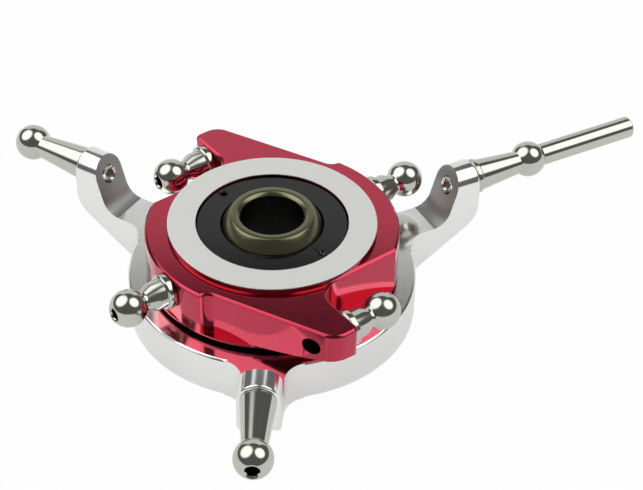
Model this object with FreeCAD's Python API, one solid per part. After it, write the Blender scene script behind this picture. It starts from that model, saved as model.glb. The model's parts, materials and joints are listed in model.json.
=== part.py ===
"""Swashplate of a model helicopter: every piece as its own solid, one STEP file for each.

Frame: millimetres, +Z along the rotor mast. The origin is the centre of the mast ball,
which is also the plane of all seven linkage balls. The guide pin points along +Y.
"""
import FreeCAD
import Part
import math
import os

V = FreeCAD.Vector

# ---- clearances -------------------------------------------------------------------------
thread_play = 0.02           # between a thread's outside and its tapped hole, on radius
seat_play = 0.03             # round the mast ball, and round the seat that holds it
race_play = 0.02             # between a bearing ball and its raceway
pocket_play = 0.05           # between a bearing ball and its cage pocket
circlip_play = 0.02          # round the circlip in its groove
ring_gap = 0.6               # height between the turning ring and the still ring

# ---- linkage balls ----------------------------------------------------------------------
ball_d = 4.75                # every linkage ball
key_flats = 1.5              # hex socket in the end of a ball, across flats
key_depth = 1.3
small_chamfer = 0.2          # ends of threads and corners of collars

# ---- mast ball and its socket -----------------------------------------------------------
mast_d = 8.0                 # bore for the mast
mast_ball_d = 14.0
mast_ball_half = 4.55        # height of each flat end above or below the centre
mast_ball_chamfer = 0.4      # at both mouths of the bore
seat_wall = 2.2              # lower seat, outside the ball's equator
seat_half_gap = 0.1          # from the ball's equator to the seat, and to the retainer
seat_below_ball = 0.45       # seat's lower end, below the ball's flat end
seat_opening_short = 0.9     # the seat's lower opening is this much inside the ball, on radius
retainer_shoulder = 0.5      # retainer's thread outside the seat, on radius
retainer_sink = 0.35         # retainer's top face below the face ring
retainer_mouth_chamfer = 0.2
spanner_hole_d = 1.1
spanner_hole_depth = 0.9
spanner_hole_wall = 1.0      # from the hole's centre to the outside of the retainer
spanner_hole_turn = 99.4     # degrees from the ring's long axis

# ---- turning ring -----------------------------------------------------------------------
ring_overhang = 0.2          # turning ring outside the bearing, on radius
ring_top = 2.5
ring_cut_depth = 6.05        # from the top down to the floor of the milled cuts
ring_rim = 0.35              # thickness of the thin rim below that floor
ring_turn = 9.64             # rest position: long axis ahead of the guide pin, degrees
edge_chamfer = 0.3
platform_d = 26.5            # raised round platform that carries the face ring
platform_height = 0.45
platform_neck = 0.25         # the groove under the face ring is this much smaller on radius
face_ring_overhang = 0.05    # face ring beyond the platform, on radius
face_ring_thickness = 0.15
face_ring_groove = 0.2
stud_flat = 0.2              # depth of the flat milled for a stud on the round rim

wing_seat = 3.1              # face that carries the wing's ball stud, from the cross axis
wing_ball_offset = 18.8      # line of the wing's ball stud, from the long axis
wing_tip_margin = 3.0        # from that line to the end of the wing
wing_wall_distance = 15.2    # long wall of the wing, from the mast axis
wing_wall_turn = 24.6        # direction of that wall's normal, from the long axis
wing_tip_round = 2.6
wing_corner_round = 0.8
wing_root_lift = 0.2         # underside of the wing above the cuts' floor, at the rim
wing_under_rise = 0.3        # rise of that underside per millimetre of radius
ball_cut = 13.1              # flat that makes room for a ball link, from the long axis
ball_cut_round = 3.5
wall_cut_round = 1.6         # end of the cut along the long wall
wall_cut_turn = 20.1         # where that cut leaves the round rim, from the long axis

# ---- bearing ----------------------------------------------------------------------------
bearing_bore = 25.0
bearing_section = 3.5        # from the bore to the outside, on radius
bearing_width = 4.0
bearing_ball_d = 2.0
bearing_balls_count = 26
land_gap = 1.4               # between the two races, on radius
race_chamfer = 0.2           # outer corners of the two races
shield_thickness = 0.25
shield_inset = 0.15
shield_step = 0.3            # depth of the shield's seat in the outer race
shield_inner_gap = 0.2       # from the shield to the inner race
cage_wall = 0.9
cage_height = 2.7

# ---- hub and clamp nut ------------------------------------------------------------------
hub_shoulder = 1.0           # step of the hub that the inner race rests against, on radius
seat_ledge_short = 1.4       # ledge under the lower seat, inside the seat's edge, on radius
seat_ledge = 0.9
hub_wall = 2.1               # hub inside the bearing, at the clamp nut's thread
hub_end_gap = 0.15           # hub ends this much short of the bearing's lower face
nut_wall = 1.8
nut_end_gap = 0.2            # nut's upper end below the seat's ledge
nut_flange_short = 0.05      # flange inside the edge of the inner race, on radius
nut_flange = 0.85
nut_slots = 4
nut_slot_width = 2.0
nut_slot_depth = 1.5

# ---- still ring and its arms ------------------------------------------------------------
base_wall = 2.55             # outside the bearing
base_foot = 0.36             # below the circlip's groove
base_edge = 0.25
base_lip = 0.6               # height of the lip over the bearing's outer race
base_lip_cover = 1.0         # reach of that lip over the race, on radius
circlip_thickness = 0.8
circlip_groove = 0.6         # depth of its groove, on radius
circlip_width = 1.7
circlip_opening = 16.0       # degrees between its ends
circlip_eye_d = 1.0
arm_turns = (90.0, 210.0, 330.0)
arm_width = 5.2
arm_face = 29.6              # outer face of the arms, from the mast axis
arm_boss = 2.9               # thickness of the boss at its top
arm_lean = 17.0              # lean of the boss's inner face, degrees
arm_inner_round = 2.5
arm_outer_round = 3.6
arm_edge_round = 0.3         # round the outer face and along the underside
arm_under_slope = 31.0       # slope of the underside, degrees
arm_under_start = 2.15       # where the underside leaves the ring's lower face, outside it
arm_root_round = 3.2

# ---- studs ------------------------------------------------------------------------------
servo_ball_radius = 38.65    # centre of a servo ball, from the mast axis
servo_stud_base_d = 4.4
servo_stud_tip_d = 3.05
servo_stud_rim = 0.3
servo_thread_d = 2.5
servo_thread_short = 0.5     # thread ends this far inside the arm's inner face
guide_pin_d = 2.95
guide_pin_length = 16.55     # from its ball's centre to its end
guide_pin_chamfer = 0.3
guide_collar_d = 4.7
guide_collar = 0.9
ring_stud_reach = 5.85       # from the stud's seat to the centre of its ball
ring_stud_collar_d = 4.6
ring_stud_collar = 1.1
ring_stud_neck_d = 3.7
ring_stud_waist_d = 2.7
ring_stud_thread_d = 2.3
ring_stud_thread = 3.6
hole_extra = 0.9             # depth of a blind tapped hole beyond its thread

# ---- worked out from the above ----------------------------------------------------------
ball_r = ball_d / 2
bearing_r = bearing_bore / 2 + bearing_section
ring_r = bearing_r + ring_overhang
ring_floor = ring_top - ring_cut_depth
ring_bottom = ring_floor - ring_rim
platform_top = ring_top + platform_height + face_ring_groove
face_ring_top = platform_top + face_ring_thickness
face_ring_d = platform_d + 2 * face_ring_overhang
seat_d = mast_ball_d + 2 * seat_wall
seat_bottom = -mast_ball_half - seat_below_ball
seat_opening_d = mast_ball_d - 2 * seat_opening_short
seat_ledge_d = seat_d - 2 * seat_ledge_short
retainer_thread_d = seat_d + 2 * retainer_shoulder
retainer_top = face_ring_top - retainer_sink
spanner_hole_radius = retainer_thread_d / 2 - spanner_hole_wall
wing_tip = wing_ball_offset + wing_tip_margin
wing_root_z = ring_floor + wing_root_lift
bearing_top = ring_bottom - ring_gap - base_lip
bearing_bottom = bearing_top - bearing_width
bearing_mid = (bearing_top + bearing_bottom) / 2
pitch_r = (bearing_bore / 2 + bearing_r) / 2
inner_land_r = pitch_r - land_gap / 2
outer_land_r = pitch_r + land_gap / 2
hub_thread_d = bearing_bore - 2 * hub_wall
nut_bore = hub_thread_d - 2 * nut_wall
nut_flange_r = inner_land_r - nut_flange_short
nut_top = seat_bottom - seat_ledge - nut_end_gap
base_r = bearing_r + base_wall
base_top = bearing_top + base_lip
circlip_groove_r = bearing_r + circlip_groove
circlip_groove_bottom = bearing_bottom - circlip_thickness - 2 * circlip_play
base_bottom = circlip_groove_bottom - base_foot
ring_ball_radius = ring_r - stud_flat + ring_stud_reach
arm_inner_top = arm_face - arm_boss
arm_inner_foot = arm_inner_top - (arm_width / 2 - base_top) * math.tan(math.radians(arm_lean))
far = 60.0                   # larger than any piece, for cutting bodies


# ---- small builders ---------------------------------------------------------------------
def turned(points):
    """Solid of revolution about Z from a closed outline of (radius, height) points."""
    corners = [V(r, 0, z) for r, z in points]
    outline = Part.makePolygon(corners + corners[:1])
    return Part.Face(outline).revolve(V(0, 0, 0), V(0, 0, 1), 360)


def tube(outer_r, inner_r, bottom, top):
    """Plain ring between two heights."""
    return turned([(inner_r, bottom), (outer_r, bottom), (outer_r, top), (inner_r, top)])


def ball_at(radius, x=0.0, y=0.0, z=0.0):
    return Part.makeSphere(radius, V(x, y, z))


def spun(shape, degrees):
    """Copy of a shape, turned about the mast axis."""
    copy = shape.copy()
    copy.rotate(V(0, 0, 0), V(0, 0, 1), degrees)
    return copy


def prism(points, bottom, top):
    """Upright prism over a closed plan outline."""
    corners = [V(x, y, bottom) for x, y in points]
    face = Part.Face(Part.makePolygon(corners + corners[:1]))
    return face.extrude(V(0, 0, top - bottom))


def upright_edges(shape, x, y, reach=0.01):
    """The vertical edges of a shape that stand at a plan position."""
    found = []
    for edge in shape.Edges:
        ends = [vertex.Point for vertex in edge.Vertexes]
        near = [math.hypot(p.x - x, p.y - y) < reach for p in ends]
        if len(ends) == 2 and all(near):
            found.append(edge)
    return found


def cross_edges(shape, x, z, reach=0.01):
    """The edges of a shape that run along Y through a place in the XZ plane."""
    found = []
    for edge in shape.Edges:
        ends = [vertex.Point for vertex in edge.Vertexes]
        near = [math.hypot(p.x - x, p.z - z) < reach for p in ends]
        if len(ends) == 2 and all(near):
            found.append(edge)
    return found


def hex_prism(flats, length):
    """Hexagonal bar along +X from the origin."""
    corner = flats / math.sqrt(3)
    points = []
    for step in range(6):
        angle = math.radians(60 * step)
        points.append(V(0, corner * math.cos(angle), corner * math.sin(angle)))
    face = Part.Face(Part.makePolygon(points + points[:1]))
    return face.extrude(V(length, 0, 0))


def turned_on_x(points):
    """Solid of revolution about X from (distance along X, radius) points."""
    corners = [V(x, r, 0) for x, r in points]
    outline = Part.makePolygon(corners + corners[:1])
    return Part.Face(outline).revolve(V(0, 0, 0), V(1, 0, 0), 360)


# ---- studs, drawn along +X with the seat at x = 0 -----------------------------------------
def key_socket(ball_x):
    """Hex socket in the outer end of a linkage ball."""
    socket = hex_prism(key_flats, key_depth + ball_r)
    socket.translate(V(ball_x + ball_r - key_depth, 0, 0))
    return socket


def servo_stud(thread_length):
    """Long tapered stud with a linkage ball on its end."""
    reach = servo_ball_radius - arm_face
    base_r = servo_stud_base_d / 2
    thread_r = servo_thread_d / 2 - thread_play
    body = turned_on_x([
        (-thread_length, 0), (-thread_length, thread_r - small_chamfer),
        (-thread_length + small_chamfer, thread_r), (0, thread_r),
        (0, base_r - servo_stud_rim / 2), (servo_stud_rim / 2, base_r),
        (servo_stud_rim, base_r), (reach, servo_stud_tip_d / 2), (reach, 0)])
    return body.fuse(ball_at(ball_r, reach)).removeSplitter()


def servo_ball(thread_length):
    reach = servo_ball_radius - arm_face
    return servo_stud(thread_length).cut(key_socket(reach))


def guide_pin(thread_length):
    """Servo stud with a base collar, carried on past its ball as a plain round pin."""
    end = servo_ball_radius + guide_pin_length - arm_face
    pin_r = guide_pin_d / 2
    reach = servo_ball_radius - arm_face
    pin = turned_on_x([
        (reach, 0), (reach, pin_r), (end - guide_pin_chamfer, pin_r),
        (end, pin_r - guide_pin_chamfer), (end, 0)])
    collar_r = guide_collar_d / 2
    collar = turned_on_x([
        (0, 0), (0, collar_r - small_chamfer), (small_chamfer, collar_r),
        (guide_collar - small_chamfer, collar_r), (guide_collar, collar_r - small_chamfer),
        (guide_collar, 0)])
    return servo_stud(thread_length).fuse([pin, collar]).removeSplitter()


def ring_stud():
    """Short stud of the turning ring: collar, neck, waist and ball."""
    thread_r = ring_stud_thread_d / 2 - thread_play
    collar_r = ring_stud_collar_d / 2
    neck_r = ring_stud_neck_d / 2
    waist_r = ring_stud_waist_d / 2
    waist_x = ring_stud_reach - ball_r
    neck_end = (ring_stud_collar + waist_x) / 2 + small_chamfer
    body = turned_on_x([
        (-ring_stud_thread, 0), (-ring_stud_thread, thread_r - small_chamfer),
        (-ring_stud_thread + small_chamfer, thread_r), (0, thread_r),
        (0, collar_r - small_chamfer), (small_chamfer, collar_r),
        (ring_stud_collar - small_chamfer, collar_r),
        (ring_stud_collar, collar_r - small_chamfer),
        (ring_stud_collar, neck_r), (neck_end, neck_r), (waist_x, waist_r),
        (ring_stud_reach, waist_r), (ring_stud_reach, 0)])
    whole = body.fuse(ball_at(ball_r, ring_stud_reach)).removeSplitter()
    return whole.cut(key_socket(ring_stud_reach))


# ---- still ring ---------------------------------------------------------------------------
def arm_plan():
    """Plan of one arm along +X with concave roots that run tangent into the ring."""
    half = arm_width / 2
    centre_y = half + arm_root_round
    centre_x = math.sqrt((base_r + arm_root_round) ** 2 - centre_y ** 2)
    touch = base_r / (base_r + arm_root_round)
    ring_touch = V(centre_x * touch, centre_y * touch, 0)
    centre = V(centre_x, centre_y, 0)
    middle_way = (ring_touch - centre).normalize() + V(0, -1, 0)
    middle = centre + middle_way.normalize() * arm_root_round
    arm_touch = V(centre_x, half, 0)

    def flip(point):
        return V(point.x, -point.y, 0)

    inside = V(circlip_groove_r + base_edge, 0, 0)
    edges = [
        Part.makeLine(inside, ring_touch),
        Part.Arc(ring_touch, middle, arm_touch).toShape(),
        Part.makeLine(arm_touch, V(far, half, 0)),
        Part.makeLine(V(far, half, 0), V(far, -half, 0)),
        Part.makeLine(V(far, -half, 0), flip(arm_touch)),
        Part.Arc(flip(arm_touch), flip(middle), flip(ring_touch)).toShape(),
        Part.makeLine(flip(ring_touch), inside)]
    face = Part.Face(Part.Wire(edges))
    face.translate(V(0, 0, base_bottom))
    return face.extrude(V(0, 0, far))


def arm_side():
    """Side profile of one arm, extruded across it, with rounded inner and outer corners."""
    top = arm_width / 2
    inside = circlip_groove_r + base_edge
    under = math.tan(math.radians(arm_under_slope))
    under_start = base_r + arm_under_start
    corner_z = base_bottom + (arm_face - under_start) * under
    points = [
        (inside, base_bottom), (under_start, base_bottom), (arm_face, corner_z),
        (arm_face, top), (arm_inner_top, top), (arm_inner_foot, base_top), (inside, base_top)]
    corners = [V(x, -far, z) for x, z in points]
    face = Part.Face(Part.makePolygon(corners + corners[:1]))
    block = face.extrude(V(0, 2 * far, 0))
    block = block.makeFillet(arm_outer_round, cross_edges(block, arm_face, corner_z))
    return block.makeFillet(arm_inner_round, cross_edges(block, arm_inner_foot, base_top))


def arm_section():
    """Everything below the boss axis, and the round top of the boss above it."""
    low = Part.makeBox(far, 2 * far, far, V(0, -far, -far))
    boss = Part.makeCylinder(arm_width / 2, far, V(0, 0, 0), V(1, 0, 0))
    return low.fuse(boss)


def outer_arm_edges(body):
    """Edges round the outer face of an arm and down both sides of its underside."""
    chosen = []
    for edge in body.Edges:
        box = edge.BoundBox
        flat_side = box.YMax - box.YMin < 0.001 and abs(box.YMax) > arm_width / 2 - 0.001
        on_face = box.XMin > arm_face - 0.001 and box.ZMin > -0.001
        below = flat_side and box.ZMax < 0.001 and box.XMax > arm_face - arm_boss
        if on_face or (below and box.ZMin < -0.001):
            chosen.append(edge)
    return chosen


def arm():
    """One arm along +X with its tapped hole for a stud."""
    body = arm_plan().common(arm_side()).common(arm_section())
    body = body.makeFillet(arm_edge_round, outer_arm_edges(body))
    hole = Part.makeCylinder(servo_thread_d / 2, far, V(base_r, 0, 0), V(1, 0, 0))
    return body.cut(hole)


def lower_ring():
    """Still ring: bearing housing with three arms."""
    housing_r = bearing_r + thread_play
    lip_r = bearing_r - base_lip_cover
    groove_bottom = circlip_groove_bottom
    ring = turned([
        (lip_r, bearing_top), (housing_r, bearing_top), (housing_r, bearing_bottom),
        (circlip_groove_r, bearing_bottom), (circlip_groove_r, groove_bottom),
        (housing_r, groove_bottom),
        (housing_r, base_bottom + base_edge), (housing_r + base_edge, base_bottom),
        (base_r - base_edge, base_bottom), (base_r, base_bottom + base_edge),
        (base_r, base_top - base_edge), (base_r - base_edge, base_top),
        (lip_r, base_top)])
    arms = [spun(arm(), turn) for turn in arm_turns]
    return ring.fuse(arms).removeSplitter()


# ---- bearing --------------------------------------------------------------------------------
def raceway():
    """Round groove that the bearing balls run in, as a cutting body."""
    return Part.makeTorus(pitch_r, bearing_ball_d / 2 + race_play, V(0, 0, bearing_mid))


def inner_race():
    bore_r = bearing_bore / 2
    body = turned([
        (bore_r, bearing_bottom + race_chamfer), (bore_r + race_chamfer, bearing_bottom),
        (inner_land_r, bearing_bottom), (inner_land_r, bearing_top),
        (bore_r + race_chamfer, bearing_top), (bore_r, bearing_top - race_chamfer)])
    return body.cut(raceway())


def outer_race():
    outer_r = bearing_r
    step_r = outer_land_r + shield_step
    step = shield_inset + shield_thickness
    body = turned([
        (outer_land_r, bearing_bottom + step), (step_r, bearing_bottom + step),
        (step_r, bearing_bottom), (outer_r - race_chamfer, bearing_bottom),
        (outer_r, bearing_bottom + race_chamfer), (outer_r, bearing_top - race_chamfer),
        (outer_r - race_chamfer, bearing_top), (step_r, bearing_top),
        (step_r, bearing_top - step), (outer_land_r, bearing_top - step)])
    return body.cut(raceway())


def bearing_shield(bottom):
    """Thin disc pressed into the outer race, clear of the inner one."""
    return tube(outer_land_r + shield_step, inner_land_r + shield_inner_gap,
                bottom, bottom + shield_thickness)


def around_bearing():
    """Angles of the bearing balls."""
    return [360.0 * number / bearing_balls_count for number in range(bearing_balls_count)]


def bearing_balls():
    one = ball_at(bearing_ball_d / 2, pitch_r, 0, bearing_mid)
    return Part.makeCompound([spun(one, angle) for angle in around_bearing()])


def bearing_cage():
    """Ring between the races with one round pocket for each ball."""
    inner_r = pitch_r - cage_wall / 2
    ring = tube(pitch_r + cage_wall / 2, inner_r,
                bearing_mid - cage_height / 2, bearing_mid + cage_height / 2)
    pocket_r = bearing_ball_d / 2 + pocket_play
    pocket = Part.makeCylinder(pocket_r, land_gap + cage_wall,
                               V(inner_r - land_gap / 2, 0, bearing_mid), V(1, 0, 0))
    return ring.cut([spun(pocket, angle) for angle in around_bearing()])


def circlip():
    """Open spring ring with two eyes, in its groove under the outer race."""
    outer_r = circlip_groove_r - circlip_play
    inner_r = outer_r - circlip_width
    top = bearing_bottom - circlip_play
    ring = tube(outer_r, inner_r, top - circlip_thickness, top)
    half = math.radians(circlip_opening / 2)
    reach = 2 * outer_r
    mouth = prism([(0, 0), (reach * math.cos(half), reach * math.sin(half)),
                   (reach * math.cos(half), -reach * math.sin(half))],
                  top - 2 * circlip_thickness, top + circlip_thickness)
    ring = ring.cut(mouth)
    eye_centre_r = inner_r + circlip_eye_d / 2
    eye_angle = math.degrees(half + circlip_eye_d / eye_centre_r)
    for side in (-1, 1):
        angle = math.radians(side * eye_angle)
        place = V(eye_centre_r * math.cos(angle), eye_centre_r * math.sin(angle),
                  top - circlip_thickness)
        eye = Part.makeCylinder(circlip_eye_d, circlip_thickness, place)
        hole = Part.makeCylinder(circlip_eye_d / 2, circlip_thickness, place)
        bound = tube(outer_r, inner_r - circlip_eye_d, top - circlip_thickness, top)
        ring = ring.fuse(eye.common(bound)).cut(hole)
    return spun(ring.removeSplitter(), arm_turns[0])


# ---- turning ring, drawn with its long axis along +X -----------------------------------------
def wing_blank():
    """One wing before its underside and cuts: an upright slab with a root for the round cut."""
    normal = V(math.cos(math.radians(wing_wall_turn)), math.sin(math.radians(wing_wall_turn)), 0)
    tip_x = (wing_wall_distance - wing_tip * normal.y) / normal.x
    foot = normal * wing_wall_distance
    slab = prism([(wing_seat, 0), (foot.x, 0), (foot.x, foot.y), (tip_x, wing_tip),
                  (wing_seat, wing_tip)], ring_floor, ring_top)
    slab = slab.makeFillet(wing_tip_round, upright_edges(slab, tip_x, wing_tip))
    slab = slab.makeFillet(wing_corner_round, upright_edges(slab, wing_seat, wing_tip))
    root = Part.makeBox(ball_cut_round, ball_cut + ball_cut_round, ring_top - ring_floor,
                        V(wing_seat - ball_cut_round, 0, ring_floor))
    return slab.fuse(root)


def wall_cut():
    """Cut that lays the wing's long wall back from the round rim, with a round end."""
    lead = ring_r * math.sin(math.radians(wing_wall_turn - wall_cut_turn))
    length = far
    block = Part.makeBox(far, length, far, V(wing_wall_distance, -lead, ring_floor))
    block = block.makeFillet(wall_cut_round, upright_edges(block, wing_wall_distance, -lead))
    return spun(block, wing_wall_turn)


def ball_link_cut():
    """Cut that makes room for a ball link beside the wing."""
    block = Part.makeBox(far, far, far, V(wing_seat - far, ball_cut, ring_floor))
    return block.makeFillet(ball_cut_round, upright_edges(block, wing_seat, ball_cut))


def wing_underside():
    """Cone below the wings, as a cutting body."""
    rise = (far - ring_r) * wing_under_rise
    return turned([(ring_r, ring_floor - far), (far, ring_floor - far),
                   (far, wing_root_z + rise), (ring_r, wing_root_z)])


def ring_outline():
    """Upper part of the turning ring with both wings and their cuts."""
    disc = Part.makeCylinder(ring_r, ring_top - ring_floor, V(0, 0, ring_floor))
    wings = [spun(wing_blank(), turn) for turn in (0, 180)]
    body = disc.fuse(wings).removeSplitter()
    cuts = [spun(cut, turn) for cut in (wall_cut(), ball_link_cut()) for turn in (0, 180)]
    body = body.cut(cuts + [wing_underside()])
    body = body.removeSplitter()
    edges = [edge for edge in body.Edges if edge.BoundBox.ZMin > ring_top - 0.001]
    body = body.makeChamfer(edge_chamfer, edges)
    flat = Part.makeBox(far, ring_r, far, V(ring_r - stud_flat, -ring_r / 2, ring_floor))
    return body.cut([spun(flat, turn) for turn in (0, 180)])


def hub():
    """Rim under the cuts, bearing seat, socket for the ball and the raised platform."""
    thread_r = retainer_thread_d / 2 + thread_play
    seat_r = seat_d / 2 + seat_play
    ledge_bottom = seat_bottom - seat_ledge
    hub_end = bearing_bottom + hub_end_gap
    platform_r = platform_d / 2
    groove_r = platform_r - platform_neck
    wall_top = ring_top + platform_height
    hub_r = bearing_bore / 2
    shoulder_r = hub_r + hub_shoulder
    return turned([
        (thread_r, platform_top), (thread_r, 0), (seat_r, 0), (seat_r, seat_bottom),
        (seat_ledge_d / 2, seat_bottom), (seat_ledge_d / 2, ledge_bottom),
        (hub_thread_d / 2, ledge_bottom), (hub_thread_d / 2, hub_end),
        (hub_r - small_chamfer, hub_end), (hub_r, hub_end + small_chamfer),
        (hub_r, bearing_top), (shoulder_r, bearing_top),
        (shoulder_r, ring_bottom), (ring_r - small_chamfer / 2, ring_bottom),
        (ring_r, ring_bottom + small_chamfer / 2), (ring_r, ring_floor),
        (platform_r - edge_chamfer, ring_floor), (platform_r - edge_chamfer, ring_top),
        (platform_r, ring_top), (platform_r, wall_top), (groove_r, wall_top),
        (groove_r, platform_top)])


def stud_holes():
    """Tapped holes: blind on the round rim, right through the wings."""
    radius = ring_stud_thread_d / 2
    blind = Part.makeCylinder(radius, far,
                              V(ring_r - stud_flat - ring_stud_thread - hole_extra, 0, 0),
                              V(1, 0, 0))
    through = Part.makeCylinder(radius, far, V(wing_seat, wing_ball_offset, 0), V(1, 0, 0))
    return [spun(hole, turn) for hole in (blind, through) for turn in (0, 180)]


def upper_ring():
    core = Part.makeCylinder(platform_d / 2 - edge_chamfer, far, V(0, 0, ring_floor))
    shell = ring_outline().cut(core)
    body = shell.fuse(hub()).removeSplitter()
    return spun(body.cut(stud_holes()), long_axis)


def face_ring():
    """Thin bare ring plate bonded on the platform."""
    return tube(face_ring_d / 2, retainer_thread_d / 2 + thread_play,
                face_ring_top - face_ring_thickness, face_ring_top)


def ring_ball_places():
    """Seat position and heading of the four studs, from the long axis."""
    rim = V(ring_r - stud_flat, 0, 0)
    wing = V(wing_seat, wing_ball_offset, 0)
    return [(rim, 0, 0), (rim, 0, 180), (wing, 180, 0), (wing, 180, 180)]


def ring_ball(place):
    seat, heading, turn = place
    stud = spun(ring_stud(), heading)
    stud.translate(seat)
    return spun(stud, long_axis + turn)


# ---- socket of the mast ball ------------------------------------------------------------------
def ball_retainer():
    """Threaded ring over the ball, with a round seat and two spanner holes."""
    outer_r = retainer_thread_d / 2
    socket_r = mast_ball_d / 2 + seat_play
    mouth_r = math.sqrt(socket_r ** 2 - retainer_top ** 2)
    body = Part.makeCylinder(outer_r, retainer_top - seat_half_gap, V(0, 0, seat_half_gap))
    body = body.cut(ball_at(socket_r))
    mouth = turned([(0, retainer_top), (mouth_r + retainer_mouth_chamfer, retainer_top),
                    (mouth_r - retainer_mouth_chamfer, retainer_top - 2 * retainer_mouth_chamfer),
                    (0, retainer_top - 2 * retainer_mouth_chamfer)])
    body = body.cut(mouth)
    hole = Part.makeCylinder(spanner_hole_d / 2, spanner_hole_depth,
                             V(spanner_hole_radius, 0, retainer_top - spanner_hole_depth))
    holes = [spun(hole, spanner_hole_turn + turn) for turn in (0, 180)]
    return spun(body.cut(holes), long_axis)


def ball_seat():
    """Lower half of the socket, a plain ring that lies loose on the hub's ledge."""
    socket_r = mast_ball_d / 2 + seat_play
    body = tube(seat_d / 2, seat_opening_d / 2, seat_bottom, -seat_half_gap)
    return body.cut(ball_at(socket_r))


def centre_ball():
    """Ball that slides on the mast."""
    ball_radius = mast_ball_d / 2
    body = ball_at(ball_radius)
    slab = Part.makeCylinder(2 * ball_radius, 2 * mast_ball_half, V(0, 0, -mast_ball_half))
    body = body.common(slab)
    bore_r = mast_d / 2
    mouth_r = bore_r + mast_ball_chamfer
    bore = turned([
        (0, -mast_ball_half), (mouth_r, -mast_ball_half),
        (bore_r, -mast_ball_half + mast_ball_chamfer),
        (bore_r, mast_ball_half - mast_ball_chamfer), (mouth_r, mast_ball_half),
        (0, mast_ball_half)])
    return body.cut(bore)


def clamp_nut():
    """Slotted nut in the hub that clamps the bearing's inner race."""
    thread_r = hub_thread_d / 2 - thread_play
    bottom = bearing_bottom - nut_flange
    body = turned([
        (nut_bore / 2, bottom), (nut_flange_r - small_chamfer, bottom),
        (nut_flange_r, bottom + small_chamfer), (nut_flange_r, bearing_bottom),
        (thread_r, bearing_bottom), (thread_r, nut_top - small_chamfer),
        (thread_r - small_chamfer, nut_top), (nut_bore / 2, nut_top)])
    slot = Part.makeBox(far, nut_slot_width, nut_flange,
                        V(nut_flange_r - nut_slot_depth, -nut_slot_width / 2, bottom))
    slots = [spun(slot, 360.0 * number / nut_slots) for number in range(nut_slots)]
    return body.cut(slots)


# ---- all pieces -------------------------------------------------------------------------------
long_axis = arm_turns[0] + ring_turn


def all_nodes():
    """Every piece by its name."""
    thread_inner = arm_inner_top - arm_width / 2 * math.tan(math.radians(arm_lean))
    thread_length = arm_face - thread_inner - servo_thread_short
    nodes = {
        "lower_ring": lower_ring(),
        "bearing_outer_race": outer_race(),
        "bearing_inner_race": inner_race(),
        "bearing_balls": bearing_balls(),
        "bearing_cage": bearing_cage(),
        "bearing_shield_upper": bearing_shield(bearing_top - shield_inset - shield_thickness),
        "bearing_shield_lower": bearing_shield(bearing_bottom + shield_inset),
        "bearing_circlip": circlip(),
        "upper_ring": upper_ring(),
        "face_ring": face_ring(),
        "ball_retainer": ball_retainer(),
        "ball_seat": ball_seat(),
        "centre_ball": centre_ball(),
        "clamp_nut": clamp_nut(),
    }
    studs = [guide_pin(thread_length), servo_ball(thread_length), servo_ball(thread_length)]
    names = ["guide_pin", "servo_ball_1", "servo_ball_2"]
    for name, stud, turn in zip(names, studs, arm_turns):
        stud.translate(V(arm_face, 0, 0))
        nodes[name] = spun(stud, turn)
    for number, place in enumerate(ring_ball_places(), start=1):
        nodes["ring_ball_%d" % number] = ring_ball(place)
    return nodes


os.makedirs("parts", exist_ok=True)
for name, shape in all_nodes().items():
    box = shape.BoundBox
    print("%-22s valid %s solids %d volume %.1f  z %.2f..%.2f  reach %.2f" % (
        name, shape.isValid(), len(shape.Solids), shape.Volume, box.ZMin, box.ZMax,
        max(abs(box.XMin), box.XMax, abs(box.YMin), box.YMax)))
    shape.exportStep("parts/" + name + ".step")
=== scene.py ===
"""Helicopter swashplate: detailed pieces, finishes and a white light tent."""
import json
import math

import bpy
from mathutils import Matrix, Vector


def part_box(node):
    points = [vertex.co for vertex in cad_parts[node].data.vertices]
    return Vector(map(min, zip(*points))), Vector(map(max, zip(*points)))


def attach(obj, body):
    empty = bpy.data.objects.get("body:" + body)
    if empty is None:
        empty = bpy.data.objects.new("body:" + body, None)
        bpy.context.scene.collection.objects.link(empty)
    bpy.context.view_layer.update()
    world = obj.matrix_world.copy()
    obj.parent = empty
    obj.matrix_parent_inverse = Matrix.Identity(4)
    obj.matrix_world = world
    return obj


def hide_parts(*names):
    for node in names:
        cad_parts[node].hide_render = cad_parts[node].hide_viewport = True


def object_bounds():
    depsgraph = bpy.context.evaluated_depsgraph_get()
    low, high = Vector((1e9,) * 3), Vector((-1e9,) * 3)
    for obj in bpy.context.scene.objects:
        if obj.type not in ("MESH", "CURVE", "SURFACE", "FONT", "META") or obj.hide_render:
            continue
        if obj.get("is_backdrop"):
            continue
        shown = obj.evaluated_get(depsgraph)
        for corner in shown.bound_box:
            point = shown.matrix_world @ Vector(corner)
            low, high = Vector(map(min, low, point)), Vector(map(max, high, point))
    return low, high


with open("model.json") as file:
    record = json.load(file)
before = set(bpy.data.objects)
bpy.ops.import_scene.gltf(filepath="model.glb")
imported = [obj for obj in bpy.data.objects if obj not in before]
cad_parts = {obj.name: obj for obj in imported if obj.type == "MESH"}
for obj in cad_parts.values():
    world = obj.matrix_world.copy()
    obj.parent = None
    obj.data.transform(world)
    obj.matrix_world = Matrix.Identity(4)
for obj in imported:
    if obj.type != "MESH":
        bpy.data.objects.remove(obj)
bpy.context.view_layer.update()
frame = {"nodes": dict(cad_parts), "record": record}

bl_info = {
    "name": "Swashplate",
    "version": (1, 0, 0),
    "blender": (4, 5, 0),
    "location": "View3D > Sidebar > Swashplate",
    "description": "Dresses a helicopter swashplate with its studs, rings and finishes",
    "category": "Object",
}

MM = 0.001
FULL_TURN = 2 * math.pi
SAME_POINT = 0.0005 * MM    # points closer than this are merged
SMOOTH_BELOW = 30           # degrees between faces that are shaded as one

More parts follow.
